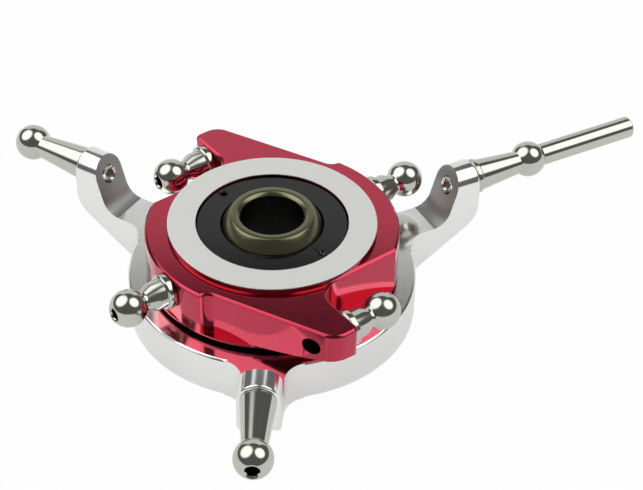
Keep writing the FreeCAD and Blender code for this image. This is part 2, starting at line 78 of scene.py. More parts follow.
# In millimetres, as are all bare lengths below
BALL_RADIUS = 2.371         # linkage ball, a hair under the solid one so that it stays inside
STUD_THREAD = 1.23          # threads of the studs in the arms, on radius
STUD_TIP = 1.525            # where the tapered studs meet their balls, on radius


# ---- values a user would change -------------------------------------------------------------
def length(name, description, millimetres):
    return bpy.props.FloatProperty(name=name, description=description, default=millimetres * MM,
                                   min=0.0, unit="LENGTH", subtype="DISTANCE", precision=5)


def colour(name, description, red, green, blue):
    return bpy.props.FloatVectorProperty(name=name, description=description, size=3,
                                         default=(red, green, blue), min=0.0, max=1.0,
                                         subtype="COLOR")


def share(name, description, value):
    return bpy.props.FloatProperty(name=name, description=description, default=value,
                                   min=0.0, max=1.0, subtype="FACTOR")


class SwashplateSizes(bpy.types.PropertyGroup):
    """Sizes of the detail that the pieces carry."""
    key_flats: length("Key socket", "Hex socket of a linkage ball, across its flats", 1.5)
    key_depth: length("Key depth", "Depth of the hex socket", 1.3)
    key_countersink: length("Key countersink", "Width of the bevel round the socket", 0.16)
    thread_pitch: length("Thread pitch", "Distance from one thread turn to the next", 0.45)
    thread_depth: length("Thread depth", "Depth of the thread groove", 0.2)
    dome: length("Stud end dome", "Height of the dome on the threaded end of a stud", 0.55)
    corner: length("Corner rounding", "Rounding of the turned corners", 0.07)
    ring_corner: length("Milled corner", "Rounding of the milled rings' edges", 0.09)
    around: bpy.props.IntProperty(name="Steps around", default=64, min=24, max=192,
                                  description="Faces round a turned piece")


class SwashplateFinishes(bpy.types.PropertyGroup):
    """Colours of the metals and plastics."""
    aluminium: colour("Aluminium", "Bare polished aluminium", 0.94, 0.945, 0.935)
    satin: colour("Satin aluminium", "Face ring, turned satin", 0.94, 0.945, 0.92)
    red: colour("Red anodising", "Turning ring", 0.57, 0.030, 0.075)
    black: colour("Black anodising", "Retainer and clamp nut", 0.005, 0.005, 0.006)
    olive: colour("Hard anodising", "Mast ball", 0.24, 0.24, 0.15)
    steel: colour("Steel", "Studs and linkage balls", 0.62, 0.625, 0.575)
    polish: share("Polish roughness", "Roughness of the polished aluminium", 0.13)
    anodised_roughness: share("Anodised roughness", "Roughness of the red ring", 0.09)


class SwashplateStage(bpy.types.PropertyGroup):
    """Light tent and camera."""
    lens: bpy.props.FloatProperty(name="Lens", description="Focal length of the camera",
                                  default=107.86, min=10.0, unit="CAMERA")
    distance: length("Distance", "From the camera to the face ring", 243.677)
    height: bpy.props.FloatProperty(name="Height", description="Camera angle above the floor",
                                    default=math.radians(39.413), subtype="ANGLE")
    turn: bpy.props.FloatProperty(name="Turn", description="Camera angle round the mast",
                                  default=math.radians(61.279), subtype="ANGLE")
    roll: bpy.props.FloatProperty(name="Roll", description="Camera tilt about its own line",
                                  default=math.radians(1.159), subtype="ANGLE")
    tent: share("Tent light", "Brightness of the tent's white walls", 0.76)
    ceiling: share("Ceiling light", "Brightness of the tent's dark part", 0.12)
    lamp: bpy.props.FloatProperty(name="Lamp light", description="Brightness of the round lamps",
                                  default=1.6, min=0.0)


# ---- shop tools: meshes ---------------------------------------------------------------------
def pick(*pieces):
    """Select these pieces alone and make the first one active."""
    bpy.ops.object.select_all(action="DESELECT")
    for piece in pieces:
        piece.select_set(True)
    bpy.context.view_layer.objects.active = pieces[0]


def name_piece(piece, name):
    piece.name = name
    piece.data.name = name
    return piece


def primitive(add, **settings):
    """Add a primitive with this operator and with nothing else selected."""
    bpy.ops.object.select_all(action="DESELECT")
    add(**settings)
    return bpy.context.object


def start_point(name, x, z):
    """A new mesh of one point, in edit mode, ready to be drawn on from."""
    plane = primitive(bpy.ops.mesh.primitive_plane_add, size=MM, location=(0, 0, 0))
    piece = name_piece(plane, name)
    bpy.ops.object.mode_set(mode="EDIT")
    bpy.ops.mesh.merge(type="CENTER")
    bpy.ops.transform.translate(value=(x * MM, 0, z * MM))
    return piece


def draw_through(start, points):
    """Extrude the end point through each (x, z) point, in millimetres."""
    x, z = start
    for next_x, next_z in points:
        bpy.ops.mesh.extrude_vertices_move(
            TRANSFORM_OT_translate={"value": ((next_x - x) * MM, 0, (next_z - z) * MM)})
        x, z = next_x, next_z


def draw_arc(centre_x, centre_z, degrees, steps):
    """Carry the end point clockwise round a centre in the plane of the drawing."""
    bpy.ops.mesh.spin(steps=steps, angle=-math.radians(degrees),
                      center=(centre_x * MM, 0, centre_z * MM), axis=(0, 1, 0))


def turn_round(axis, steps):
    """Spin the drawn line once round the axis and close the mesh."""
    bpy.ops.mesh.select_all(action="SELECT")
    bpy.ops.mesh.spin(steps=steps, angle=FULL_TURN, center=(0, 0, 0), axis=axis)
    bpy.ops.mesh.select_all(action="SELECT")
    bpy.ops.mesh.remove_doubles(threshold=SAME_POINT)
    bpy.ops.mesh.normals_make_consistent(inside=False)
    bpy.ops.object.mode_set(mode="OBJECT")


def modify(piece, kind, **settings):
    """Add a modifier and apply it."""
    pick(piece)
    modifier = piece.modifiers.new(kind, kind)
    for name, value in settings.items():
        setattr(modifier, name, value)
    bpy.ops.object.modifier_apply(modifier=modifier.name)


def round_corners(piece, width, degrees=30):
    """Round every edge that is sharper than this angle."""
    modify(piece, "BEVEL", width=width, segments=2, limit_method="ANGLE",
           angle_limit=math.radians(degrees), use_clamp_overlap=True)


def smooth(piece):
    """Smooth the shading of round faces and keep the flat ones flat."""
    pick(piece)
    bpy.ops.object.shade_smooth_by_angle(angle=math.radians(SMOOTH_BELOW))
    modify(piece, "WEIGHTED_NORMAL", mode="FACE_AREA", weight=50, keep_sharp=True)


def cut_away(piece, *cutters):
    """Cut each cutter out of the piece and remove the cutter."""
    for cutter in cutters:
        modify(piece, "BOOLEAN", operation="DIFFERENCE", object=cutter, solver="EXACT")
        bpy.data.objects.remove(cutter)


def set_down(piece, place):
    """Move a piece to its place and bake that place into its mesh."""
    piece.matrix_world = place
    pick(piece)
    bpy.ops.object.transform_apply(location=True, rotation=True, scale=True)


def another(piece, name):
    """A copy of a piece, with a mesh of its own."""
    twin = piece.copy()
    twin.data = piece.data.copy()
    bpy.context.scene.collection.objects.link(twin)
    return name_piece(twin, name)


def cleaned_copy(node, name):
    """A merged copy of a frame node, ready for its edges to be rounded."""
    source = frame["nodes"][node]
    mesh = source.data.copy()
    piece = bpy.data.objects.new(name, mesh)
    bpy.context.scene.collection.objects.link(piece)
    name_piece(piece, name)
    mesh.materials.clear()
    pick(piece)
    bpy.ops.mesh.customdata_custom_splitnormals_clear()
    bpy.ops.object.mode_set(mode="EDIT")
    bpy.ops.mesh.select_all(action="SELECT")
    bpy.ops.mesh.remove_doubles(threshold=SAME_POINT)
    bpy.ops.mesh.dissolve_limited(angle_limit=math.radians(0.5))
    bpy.ops.object.mode_set(mode="OBJECT")
    return piece


# ---- shop tools: finishes -------------------------------------------------------------------
class Wire:
    """One socket of a shader, which sums and products can use."""

    def __init__(self, bench, socket):
        self.bench = bench
        self.socket = socket

    def _maths(self, operation, first, second):
        return self.bench.add("ShaderNodeMath", {"operation": operation},
                              {0: first, 1: second})

    def __add__(self, other):
        return self._maths("ADD", self, other)

    __radd__ = __add__

    def __sub__(self, other):
        return self._maths("SUBTRACT", self, other)

    def __rsub__(self, other):
        return self._maths("SUBTRACT", other, self)

    def __mul__(self, other):
        return self._maths("MULTIPLY", self, other)

    __rmul__ = __mul__

    def highest(self, other):
        return self._maths("MAXIMUM", self, other)


class Bench:
    """Node tree of one finish, or of the light tent."""

    def __init__(self, tree, shader=None):
        self.tree = tree
        self.shader = shader

    def fill(self, node, values):
        """Set or link the sockets of a node."""
        for name, value in values.items():
            if isinstance(value, Wire):
                self.tree.links.new(value.socket, node.inputs[name])
            else:
                node.inputs[name].default_value = value

    def node(self, kind, settings, values):
        """Add a node, its settings first."""
        node = self.tree.nodes.new(kind)
        for name, value in settings.items():
            setattr(node, name, value)
        self.fill(node, values)
        return node

    def add(self, kind, settings=None, values=None, output=0):
        """Add a node and give one of its outputs."""
        return Wire(self, self.node(kind, settings or {}, values or {}).outputs[output])

    def set_shader(self, **sockets):
        """Set or link the sockets of the finish's own shader."""
        self.fill(self.shader, {name.replace("_", " "): value
                                for name, value in sockets.items()})

    def place(self):
        return self.add("ShaderNodeTexCoord", output="Object")

    def grain(self, scale, detail, stretch=(1, 1, 1)):
        """Even noise from 0 to 1, scale in patches per metre."""
        spot = self.add("ShaderNodeMapping", {}, {"Vector": self.place(), "Scale": stretch})
        return self.add("ShaderNodeTexNoise", {"noise_dimensions": "3D"},
                        {"Vector": spot, "Scale": scale, "Detail": detail,
                         "Roughness": 0.5}, output="Fac")

    def turned_marks(self, scale):
        """Rings round the mast axis, as a lathe tool leaves them."""
        flat = self.add("ShaderNodeVectorMath", {"operation": "MULTIPLY"},
                        {0: self.place(), 1: (1, 1, 0)})
        radius = self.add("ShaderNodeVectorMath", {"operation": "LENGTH"}, {0: flat},
                          output="Value")
        return self.add("ShaderNodeTexNoise", {"noise_dimensions": "1D"},
                        {"W": radius, "Scale": scale, "Detail": 3.0}, output="Fac")

    def ranged(self, value, low, high):
        return self.add("ShaderNodeMapRange", {}, {"Value": value, "To Min": low,
                                                   "To Max": high})

    def tinted(self, shades, amount):
        """Colour between two shades."""
        factor, colour_a, colour_b, colour_out = 0, 6, 7, 2     # sockets of a colour Mix node
        return self.add("ShaderNodeMix", {"data_type": "RGBA"},
                        {factor: amount, colour_a: (*shades[0], 1), colour_b: (*shades[1], 1)},
                        output=colour_out)

    def bump(self, height, strength, distance):
        return self.add("ShaderNodeBump", {}, {"Height": height, "Strength": strength,
                                               "Distance": distance}, output="Normal")


def darker(shade, part):
    return tuple(channel * part for channel in shade)


def finish(name, **sockets):
    """New material with its shader's plain values set, and the bench to add to it."""
    material = bpy.data.materials.new(name)
    material.use_nodes = True
    bench = Bench(material.node_tree, material.node_tree.nodes["Principled BSDF"])
    bench.set_shader(**sockets)
    return material, bench


def polished_aluminium(finishes):
    material, bench = finish("polished aluminium", Metallic=1.0)
    cloud = bench.grain(160, detail=3)
    haze = bench.grain(900, detail=4, stretch=(1, 1, 6))
    bench.set_shader(
        Base_Color=bench.tinted((darker(finishes.aluminium, 0.95),
                                 finishes.aluminium), cloud),
        Roughness=bench.ranged(haze, finishes.polish - 0.03, finishes.polish + 0.05),
        Normal=bench.bump(bench.grain(2600, detail=2), strength=0.05, distance=0.02 * MM))
    return material


def satin_face(finishes):
    material, bench = finish("turned satin aluminium", Metallic=0.5)
    marks = bench.turned_marks(9000)
    bench.set_shader(
        Base_Color=bench.tinted((darker(finishes.satin, 0.93), finishes.satin), marks),
        Roughness=bench.ranged(marks, 0.44, 0.56),
        Normal=bench.bump(marks, strength=0.10, distance=0.02 * MM))
    return material


def red_anodised(finishes):
    material, bench = finish("red anodised aluminium", Metallic=1.0, Coat_Weight=0.55,
                             Coat_Roughness=0.08)
    cloud = bench.grain(220, detail=3)
    haze = bench.grain(1400, detail=3)
    rough = finishes.anodised_roughness
    bench.set_shader(
        Base_Color=bench.tinted((darker(finishes.red, 0.88), finishes.red), cloud),
        Roughness=bench.ranged(haze, rough - 0.02, rough + 0.05),
        Normal=bench.bump(bench.grain(5200, detail=2), strength=0.05, distance=0.01 * MM))
    return material


def black_anodised(finishes):
    material, bench = finish("black anodised aluminium", Metallic=0.0, IOR=1.45)
    marks = bench.turned_marks(7000)
    bench.set_shader(
        Base_Color=bench.tinted((darker(finishes.black, 0.6), finishes.black),
                                bench.grain(600, detail=3)),
        Roughness=bench.ranged(marks, 0.05, 0.10),
        Normal=bench.bump(marks, strength=0.05, distance=0.02 * MM))
    return material


def hard_anodised(finishes):
    material, bench = finish("olive hard anodised aluminium", Metallic=1.0)
    haze = bench.grain(1300, detail=3, stretch=(1, 1, 3))
    bench.set_shader(
        Base_Color=bench.tinted((darker(finishes.olive, 0.85), finishes.olive), haze),
        Roughness=bench.ranged(haze, 0.20, 0.30),
        Normal=bench.bump(bench.grain(6000, detail=2), strength=0.05, distance=0.01 * MM))
    return material


def polished_steel(finishes):
    material, bench = finish("polished steel", Metallic=1.0)
    haze = bench.grain(1600, detail=3)
    bench.set_shader(
        Base_Color=bench.tinted((darker(finishes.steel, 0.93), finishes.steel),
                                bench.grain(300, detail=2)),
        Roughness=bench.ranged(haze, 0.07, 0.13),
        Normal=bench.bump(bench.grain(5000, detail=2), strength=0.03, distance=0.01 * MM))
    return material


def bearing_steel():
    material, bench = finish("ground bearing steel", Metallic=1.0)
    marks = bench.turned_marks(8000)
    bench.set_shader(
        Base_Color=bench.tinted(((0.50, 0.51, 0.52), (0.62, 0.63, 0.64)), marks),
        Roughness=bench.ranged(marks, 0.14, 0.26),
        Normal=bench.bump(marks, strength=0.06, distance=0.01 * MM))
    return material


def spring_steel():
    material, bench = finish("dark spring steel", Metallic=1.0)
    haze = bench.grain(900, detail=4)
    bench.set_shader(
        Base_Color=bench.tinted(((0.05, 0.048, 0.045), (0.10, 0.10, 0.10)), haze),
        Roughness=bench.ranged(haze, 0.25, 0.42),
        Normal=bench.bump(haze, strength=0.06, distance=0.02 * MM))
    return material


def milled_aluminium_with_painted_shade(finishes):
    """Fine cutter marks of the arms' inner faces, which are not polished, on a base colour
    darkened to about half as painted shade on these inward faces.
    """
    material, bench = finish("milled aluminium with painted shade", Metallic=1.0)
    marks = bench.grain(5200, detail=3, stretch=(1, 1, 0.04))
    bench.set_shader(
        Base_Color=bench.tinted((darker(finishes.aluminium, 0.40),
                                 darker(finishes.aluminium, 0.52)), marks),
        Roughness=bench.ranged(marks, 0.38, 0.52),
        Normal=bench.bump(marks, strength=0.25, distance=0.02 * MM))
    return material


def painted_hole_shade():
    """Painted shade: a near-black colour that stands in for the shade inside holes, sockets and
    the bore.
    """
    material, bench = finish("painted hole shade", Metallic=1.0)
    haze = bench.grain(2200, detail=3)
    bench.set_shader(
        Base_Color=bench.tinted(((0.012, 0.012, 0.011), (0.035, 0.034, 0.032)), haze),
        Roughness=bench.ranged(haze, 0.35, 0.55),
        Normal=bench.bump(haze, strength=0.2, distance=0.03 * MM))
    return material


def plastic(name, shades, low, high):
    """Moulded polymer or rubber between two shades and two roughnesses."""
    material, bench = finish(name, Metallic=0.0)
    haze = bench.grain(1100, detail=4)
    bench.set_shader(
        Base_Color=bench.tinted(shades, haze),
        Roughness=bench.ranged(haze, low, high),
        Normal=bench.bump(bench.grain(4000, detail=3), strength=0.10, distance=0.02 * MM))
    return material


finishes_made = {}


def finishes_of(context):
    """Every finish, made once, by the name of its material slot."""
    if not finishes_made:
        shades = context.scene.swashplate_finishes
        finishes_made.update({
            "polished_aluminium": polished_aluminium(shades),
            "satin_aluminium": satin_face(shades),
            "red_anodised": red_anodised(shades),
            "black_anodised": black_anodised(shades),
            "olive_anodised": hard_anodised(shades),
            "polished_steel": polished_steel(shades),
            "bearing_steel": bearing_steel(),
            "dark_spring_steel": spring_steel(),
            "cage_polymer": plastic("cage polymer", ((0.40, 0.33, 0.18), (0.50, 0.42, 0.25)),
                                    0.42, 0.55),
            "black_polymer": plastic("black polymer", ((0.012, 0.012, 0.013),
                                                       (0.022, 0.022, 0.023)), 0.34, 0.46),
            "painted_hole_shade": painted_hole_shade(),
            "milled_aluminium_with_painted_shade": milled_aluminium_with_painted_shade(shades),
            "seal_rubber": plastic("seal rubber", ((0.014, 0.014, 0.014), (0.03, 0.03, 0.03)),
                                   0.50, 0.65),
        })
    return finishes_made


slot_of_node = {part["node"]: part["material_slot"] for part in frame["record"]["subparts"]}
body_of_node = {node: body for body, nodes in frame["record"]["behaviour"]["bodies"].items()
                for node in nodes}


def dress(context, piece, node):
    """Give a piece that stands for a node its finish, slot and body."""
    slot = slot_of_node[node]
    piece.data.materials.clear()
    piece.data.materials.append(finishes_of(context)[slot])
    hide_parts(node)
    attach(piece, body_of_node[node])


def dress_node(context, node):
    """Give a node that stays its finish."""
    mesh = frame["nodes"][node].data
    mesh.materials.clear()
    mesh.materials.append(finishes_of(context)[slot_of_node[node]])


def refinish(context, piece, name, chosen):
    """Give some faces another finish, chosen by their centre in millimetres and normal."""
    piece.data.materials.append(finishes_of(context)[name])
    for face in piece.data.polygons:
        if chosen(face.center / MM, face.normal):
            face.material_index = len(piece.data.materials) - 1


def at_mount(name):
    """Place whose origin is a mount and whose X runs along the mount's axis."""
    mount = next(entry for entry in frame["record"]["mounts"] if entry["name"] == name)
    along = Vector(mount["axis"]).normalized()
    up = Vector((0, 0, 1))
    place = Matrix((along, up.cross(along), up)).transposed().to_4x4()
    place.translation = mount["pos_m"]
    return place


# ---- studs ----------------------------------------------------------------------------------
def threaded_end(start_x, end_x, radius, sizes):
    """Line of a thread from its domed end to the shoulder, as (x, radius) points."""
    pitch = sizes.thread_pitch / MM
    depth = sizes.thread_depth / MM
    dome = sizes.dome / MM
    edge = radius - depth - 0.02        # the dome is a hair narrower than the thread's root
    steps = [math.radians(15 * number) for number in range(1, 7)]
    points = [(start_x + dome * (1 - math.cos(step)), edge * math.sin(step)) for step in steps]
    x = start_x + dome + depth
    plain = 0.2                         # at least this much before the shoulder has no groove
    while x + pitch < end_x - plain:
        points += [(x, radius), (x + 0.12 * pitch, radius), (x + 0.5 * pitch, radius - depth),
                   (x + 0.62 * pitch, radius - depth)]
        x += pitch
    return points + [(x, radius), (end_x, radius)]


def on_ball(radius):
    """Where a neck of this radius meets the ball, on the thread's side."""
    return (-math.sqrt(BALL_RADIUS ** 2 - radius ** 2), radius)


def ball_stud(name, line, sizes, pin=()):
    """Spin one stud along X, with the centre of its ball at the origin.

    The line runs from the rim of the threaded end's dome to the ball. It then follows the
    ball to its end, or to a pin that carries on from it."""
    dome_middle = 0.02          # beyond the first point of the line
    start = (line[0][0] - dome_middle, 0.0)
    piece = start_point(name, *start)
    draw_through(start, line)
    foot_x, foot_r = line[-1]
    foot = math.degrees(math.atan2(foot_r, foot_x))
    last = math.degrees(math.asin(pin[0][1] / BALL_RADIUS)) if pin else 0.0
    draw_arc(0, 0, foot - last, steps=22)
    if pin:
        draw_through((BALL_RADIUS * math.cos(math.radians(last)), pin[0][1]), pin[1:])
    turn_round((1, 0, 0), sizes.around)
    return piece


def cut_key(piece, sizes):
    """Hex socket with a bevelled mouth in the end of a ball."""
    depth = sizes.key_depth / MM
    reach = BALL_RADIUS + 1.0   # outer end of the hexagon, clear of the ball
    hexagon = primitive(
        bpy.ops.mesh.primitive_cylinder_add, vertices=6,
        radius=sizes.key_flats / math.sqrt(3), depth=(reach - BALL_RADIUS + depth) * MM,
        location=((reach + BALL_RADIUS - depth) / 2 * MM, 0, 0), rotation=(0, math.pi / 2, 0))
    mouth = sizes.key_flats / math.sqrt(3) + sizes.key_countersink
    face = math.sqrt((BALL_RADIUS * MM) ** 2 - mouth ** 2)
    spare = 0.6 * MM            # the cone stands out of the ball by this
    cone = primitive(
        bpy.ops.mesh.primitive_cone_add, vertices=48, radius1=mouth + spare, radius2=0,
        depth=mouth + spare,
        location=(face + spare - (mouth + spare) / 2, 0, 0), rotation=(0, -math.pi / 2, 0))
    cut_away(piece, hexagon, cone)


def paint_key_shade(context, piece, mount, sizes):
    """Paint shade on the walls and floor of a hex socket, as a near-black colour for the shade
    in the recess.
    """
    back = at_mount(mount).inverted()
    corner = sizes.key_flats / MM / math.sqrt(3)
    skin = 0.06                 # faces this near the ball's outside keep their polish

    def inside(centre, normal):
        spot = back @ (centre * MM) / MM
        off_axis = math.hypot(spot.y, spot.z)
        return spot.x > 0 and off_axis < corner * 0.99 and spot.length < BALL_RADIUS - skin

    refinish(context, piece, "painted_hole_shade", inside)


class SWASHPLATE_OT_servo_studs(bpy.types.Operator):
    """Model the two long tapered studs with linkage balls on the still ring"""
    bl_idname = "swashplate.servo_studs"
    bl_label = "Servo studs"

    def execute(self, context):
        sizes = context.scene.swashplate_sizes
        ball_centre = at_mount("servo_link_3").translation.y / MM
        thread_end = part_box("guide_pin")[0][1] / MM - ball_centre
        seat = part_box("lower_ring")[1][1] / MM - ball_centre
        foot = 2.2              # radius of the taper's foot
        line = threaded_end(thread_end, seat, STUD_THREAD, sizes) + [
            (seat, foot - 0.15), (seat + 0.15, foot), (seat + 0.30, foot),
            (seat + 0.42, foot - 0.02), on_ball(STUD_TIP)]
        first = ball_stud("servo_stud_1", line, sizes)
        cut_key(first, sizes)
        round_corners(first, sizes.corner, degrees=28)
        second = another(first, "servo_stud_2")
        for piece, mount, node in ((first, "servo_link_1", "servo_ball_1"),
                                   (second, "servo_link_2", "servo_ball_2")):
            smooth(piece)
            set_down(piece, at_mount(mount))
            dress(context, piece, node)
            paint_key_shade(context, piece, mount, sizes)
        return {"FINISHED"}


class SWASHPLATE_OT_guide_pin(bpy.types.Operator):
    """Model the stud whose ball carries on into the long guide pin"""
    bl_idname = "swashplate.guide_pin"
    bl_label = "Guide pin"

    def execute(self, context):
        sizes = context.scene.swashplate_sizes
        low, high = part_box("guide_pin")
        ball_centre = at_mount("servo_link_3").translation.y / MM
        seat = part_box("lower_ring")[1][1] / MM - ball_centre
        end = high[1] / MM - ball_centre
        line = threaded_end(low[1] / MM - ball_centre, seat, STUD_THREAD, sizes) + [
            (seat, 2.15), (seat + 0.18, 2.35), (seat + 0.72, 2.35), (seat + 0.9, 2.17),
            (seat + 0.9, 2.12), on_ball(STUD_TIP)]
        pin_radius, chamfer = 1.475, 0.3
        mark_radius, mark_depth = 0.62, 0.5     # centre drill in the pin's end
        pin = [(0, pin_radius), (end - chamfer, pin_radius), (end, pin_radius - chamfer),
               (end, mark_radius), (end - mark_depth, 0.0)]
        piece = ball_stud("guide_pin_stud", line, sizes, pin)
        round_corners(piece, sizes.corner, degrees=28)
        smooth(piece)
        set_down(piece, at_mount("servo_link_3"))
        dress(context, piece, "guide_pin")
        return {"FINISHED"}


class SWASHPLATE_OT_ring_studs(bpy.types.Operator):
    """Model the four short collared studs with linkage balls on the turning ring"""
    bl_idname = "swashplate.ring_studs"
    bl_label = "Ring studs"

    def execute(self, context):
        sizes = context.scene.swashplate_sizes
        reach, collar, thread = 5.85, 1.1, 3.6      # from the seat, along the stud
        neck, waist, thread_radius = 1.85, 1.35, 1.13
        seat = -reach
        neck_end = (collar + reach - BALL_RADIUS) / 2 + 0.2 + seat
        line = threaded_end(seat - thread, seat, thread_radius, sizes) + [
            (seat, 2.1), (seat + 0.2, 2.3), (seat + 0.9, 2.3), (seat + collar, 2.1),
            (seat + collar, neck), (neck_end, neck), (-BALL_RADIUS, waist), on_ball(waist)]
        first = ball_stud("ring_stud_1", line, sizes)
        cut_key(first, sizes)
        round_corners(first, sizes.corner, degrees=28)
        pieces = [first] + [another(first, "ring_stud_%d" % number) for number in (2, 3, 4)]
        for number, piece in enumerate(pieces, 1):
            smooth(piece)
            set_down(piece, at_mount("rotor_link_%d" % number))
            dress(context, piece, "ring_ball_%d" % number)
            paint_key_shade(context, piece, "rotor_link_%d" % number, sizes)
        return {"FINISHED"}


# ---- rings ----------------------------------------------------------------------------------
class SWASHPLATE_OT_still_ring(bpy.types.Operator):
    """Round the edges of the three-armed still ring and polish it"""
    bl_idname = "swashplate.still_ring"
    bl_label = "Still ring"

    def execute(self, context):
        sizes = context.scene.swashplate_sizes
        piece = cleaned_copy("lower_ring", "still_ring_body")
        round_corners(piece, sizes.ring_corner, degrees=35)
        smooth(piece)
        dress(context, piece, "lower_ring")

        nearest, furthest, foot = 22.3, 27.6, -4.6      # where the arms' inner faces lie

        def inner_face(centre, normal):
            radius = math.hypot(centre.x, centre.y)
            inward = -(centre.x * normal.x + centre.y * normal.y) / radius
            return nearest < radius < furthest and centre.z > foot and inward > 0.12

        # Painted shade: the arms' inward faces get the milled finish, whose darkened base colour
        # stands in for their shade.
        refinish(context, piece, "milled_aluminium_with_painted_shade", inner_face)
        return {"FINISHED"}


class SWASHPLATE_OT_turning_ring(bpy.types.Operator):
    """Round the edges of the winged turning ring and anodise it"""
    bl_idname = "swashplate.turning_ring"
    bl_label = "Turning ring"

    def execute(self, context):
        sizes = context.scene.swashplate_sizes
        piece = cleaned_copy("upper_ring", "winged_ring_body")
        round_corners(piece, sizes.ring_corner, degrees=35)
        smooth(piece)
        dress(context, piece, "upper_ring")
        places = [at_mount("rotor_link_%d" % number) for number in (1, 2, 3, 4)]
        hole_radius, mouth = 1.3, -6.0          # seen from the centre of a stud's ball

        def in_hole(centre, normal):
            for place in places:
                spot = place.inverted() @ (centre * MM) / MM
                if (math.hypot(spot.y, spot.z) < hole_radius and spot.x < mouth
                        and abs(normal.dot(place.col[0].xyz)) < 0.5):
                    return True
            return False

        # Painted shade: the walls of the stud holes get a near-black colour for the shade inside
        # them.
        refinish(context, piece, "painted_hole_shade", in_hole)
        return {"FINISHED"}


class SWASHPLATE_OT_face_ring(bpy.types.Operator):
    """Turn the thin bare face ring"""
    bl_idname = "swashplate.face_ring"
    bl_label = "Face ring"

    def execute(self, context):
        sizes = context.scene.swashplate_sizes
        low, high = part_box("face_ring")
        outer, bottom, top = high[0] / MM, low[2] / MM, high[2] / MM
        inner = 9.72
        start = (inner, bottom)
        piece = start_point("face_ring_plate", *start)
        draw_through(start, [(outer, bottom), (outer, top), (inner, top), start])
        turn_round((0, 0, 1), 2 * sizes.around)
        round_corners(piece, width=0.04 * MM)
        smooth(piece)
        dress(context, piece, "face_ring")
        return {"FINISHED"}


# ---- socket and mast ball -------------------------------------------------------------------
class SWASHPLATE_OT_retainer(bpy.types.Operator):
    """Turn the threaded retainer over the ball and drill its two spanner holes"""
    bl_idname = "swashplate.retainer"
    bl_label = "Ball retainer"

    def execute(self, context):
        sizes = context.scene.swashplate_sizes
        low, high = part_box("ball_retainer")
        outer, bottom, top = high[0] / MM, low[2] / MM, high[2] / MM
        seat, lip = 7.03, 0.35          # radius of the seat, height of the lip above it
        start = (math.sqrt(seat ** 2 - bottom ** 2), bottom)
        lip_foot = (math.sqrt(seat ** 2 - (top - lip) ** 2), top - lip)
        mouth = math.sqrt(seat ** 2 - top ** 2) + 0.22
        piece = start_point("retainer_ring", *start)
        rise = math.degrees(math.atan2(lip_foot[1], lip_foot[0])
                            - math.atan2(bottom, start[0]))
        draw_arc(0, 0, -rise, steps=10)
        edge = top - 0.2
        draw_through(lip_foot, [(mouth, top), (outer - 0.2, top), (outer, edge)])
        z = edge
        thread, pitch, groove = [], 0.4, 0.2
        while z - 0.5 > bottom + 0.3:
            thread += [(outer, z - 0.1), (outer - groove, z - 0.25), (outer, z - pitch)]
            z -= pitch
        draw_through((outer, edge), thread + [(outer, bottom), start])
        turn_round((0, 0, 1), 2 * sizes.around)
        long_axis, holes_turn = 99.64, 99.4         # degrees
        hole_circle, hole_radius, hole_depth = 8.7, 0.42, 0.9
        cone, cone_lift = 1.16, 0.03                # cuts a mouth of 0.55 on radius
        for side in (0, 180):
            angle = math.radians(long_axis + holes_turn + side)
            x, y = hole_circle * MM * math.cos(angle), hole_circle * MM * math.sin(angle)
            drill = primitive(bpy.ops.mesh.primitive_cylinder_add, vertices=32,
                              radius=hole_radius * MM, depth=2 * hole_depth * MM,
                              location=(x, y, top * MM))
            sink = primitive(bpy.ops.mesh.primitive_cone_add, vertices=32, radius1=0,
                             radius2=cone * MM, depth=cone * MM,
                             location=(x, y, (top + cone_lift) * MM))
            cut_away(piece, drill, sink)
        round_corners(piece, width=0.05 * MM, degrees=35)
        smooth(piece)
        dress(context, piece, "ball_retainer")
        return {"FINISHED"}


class SWASHPLATE_OT_mast_ball(bpy.types.Operator):
    """Turn the bored ball that slides on the mast"""
    bl_idname = "swashplate.mast_ball"
    bl_label = "Mast ball"

    def execute(self, context):
        sizes = context.scene.swashplate_sizes
        radius, bore, chamfer = 7.0, 4.0, 0.4
        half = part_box("centre_ball")[1][2] / MM
        edge = math.sqrt(radius ** 2 - half ** 2)
        start = (edge, -half)
        piece = start_point("mast_ball_body", *start)
        draw_arc(0, 0, -2 * math.degrees(math.asin(half / radius)), steps=26)
        draw_through((edge, half), [(bore + chamfer, half), (bore, half - chamfer),
                                    (bore, chamfer - half), (bore + chamfer, -half), start])
        turn_round((0, 0, 1), 2 * sizes.around)
        round_corners(piece, sizes.corner)
        smooth(piece)
        dress(context, piece, "centre_ball")

        def in_bore(centre, normal):
            return (math.hypot(centre.x, centre.y) < bore + 0.05
                    and abs(centre.z) < half - chamfer and abs(normal.z) < 0.3)

        # Painted shade: the bore's wall gets a near-black colour for the shade inside it.
        refinish(context, piece, "painted_hole_shade", in_bore)
        return {"FINISHED"}


class SWASHPLATE_OT_hidden_pieces(bpy.types.Operator):
    """Finish the bearing, its circlip, the lower seat and the clamp nut"""
    bl_idname = "swashplate.hidden_pieces"
    bl_label = "Bearing and nut"

    def execute(self, context):
        for node in ("bearing_outer_race", "bearing_inner_race", "bearing_balls",
                     "bearing_cage", "bearing_shield_upper", "bearing_shield_lower",
                     "bearing_circlip", "ball_seat", "clamp_nut"):
            dress_node(context, node)
        return {"FINISHED"}


# ---- stage ----------------------------------------------------------------------------------
def heading(azimuth, elevation, turn):
    """Direction at these degrees from the camera's right, and above the floor."""
    azimuth, elevation = math.radians(azimuth) + turn, math.radians(elevation)
    return (math.cos(azimuth) * math.cos(elevation), math.sin(azimuth) * math.cos(elevation),
            math.sin(elevation))


